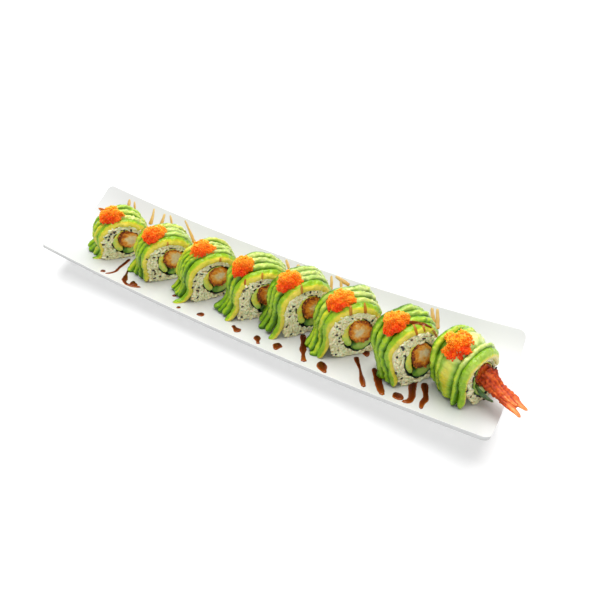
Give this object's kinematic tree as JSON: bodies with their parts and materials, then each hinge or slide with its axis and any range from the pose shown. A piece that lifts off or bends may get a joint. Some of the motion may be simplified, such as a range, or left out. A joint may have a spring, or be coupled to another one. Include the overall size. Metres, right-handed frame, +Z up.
{
  "type": "maki sushi roll platter",
  "caption": "Pieces of inside-out sushi roll with fried prawn under fanned avocado and roe, standing in a row on a long curved porcelain plate with dark sauce.",
  "frame": {"origin": "middle of the flat underside of the plate's foot", "axes": "+X along the plate towards the end where the prawn tail stands out, +Y across the plate to its far long edge, +Z up"},
  "size_m": [0.4171, 0.0924, 0.0696],
  "materials": {
    "porcelain": "glossy white glaze",
    "rice": "moist cooked grains with black sesame",
    "seaweed": "damp dark green-black",
    "prawn": "brown fried crumb round pale flesh",
    "avocado_flesh": "moist yellow-green",
    "cucumber": "wet pale green with a dark skin",
    "avocado_slices": "soft sheen, green outside and yellow inside",
    "roe": "wet translucent beads",
    "sauce": "glossy dark brown glaze",
    "sesame": "black seed"
  },
  "bodies": {
    "root": {"plate": "porcelain", "piece_1_rice": "rice", "piece_1_seaweed": "seaweed", "piece_1_prawn": "prawn", "piece_1_avocado_filling": "avocado_flesh", "piece_1_cucumber": "cucumber", "piece_1_avocado_blanket": "avocado_slices", "piece_1_roe": "roe", "piece_2_rice": "rice", "piece_2_seaweed": "seaweed", "piece_2_prawn": "prawn", "piece_2_avocado_filling": "avocado_flesh", "piece_2_cucumber": "cucumber", "piece_2_avocado_blanket": "avocado_slices", "piece_2_roe": "roe", "piece_3_rice": "rice", "piece_3_seaweed": "seaweed", "piece_3_prawn": "prawn", "piece_3_avocado_filling": "avocado_flesh", "piece_3_cucumber": "cucumber", "piece_3_avocado_blanket": "avocado_slices", "piece_3_roe": "roe", "piece_4_rice": "rice", "piece_4_seaweed": "seaweed", "piece_4_prawn": "prawn", "piece_4_avocado_filling": "avocado_flesh", "piece_4_cucumber": "cucumber", "piece_4_avocado_blanket": "avocado_slices", "piece_4_roe": "roe", "piece_5_rice": "rice", "piece_5_seaweed": "seaweed", "piece_5_prawn": "prawn", "piece_5_avocado_filling": "avocado_flesh", "piece_5_cucumber": "cucumber", "piece_5_avocado_blanket": "avocado_slices", "piece_5_roe": "roe", "piece_6_rice": "rice", "piece_6_seaweed": "seaweed", "piece_6_prawn": "prawn", "piece_6_avocado_filling": "avocado_flesh", "piece_6_cucumber": "cucumber", "piece_6_avocado_blanket": "avocado_slices", "piece_6_roe": "roe", "piece_7_rice": "rice", "piece_7_seaweed": "seaweed", "piece_7_prawn": "prawn", "piece_7_avocado_filling": "avocado_flesh", "piece_7_cucumber": "cucumber", "piece_7_avocado_blanket": "avocado_slices", "piece_7_roe": "roe", "piece_8_rice": "rice", "piece_8_seaweed": "seaweed", "piece_8_prawn": "prawn", "piece_8_avocado_filling": "avocado_flesh", "piece_8_cucumber": "cucumber", "piece_8_avocado_blanket": "avocado_slices", "piece_8_roe": "roe"}
  },
  "joints": []
}
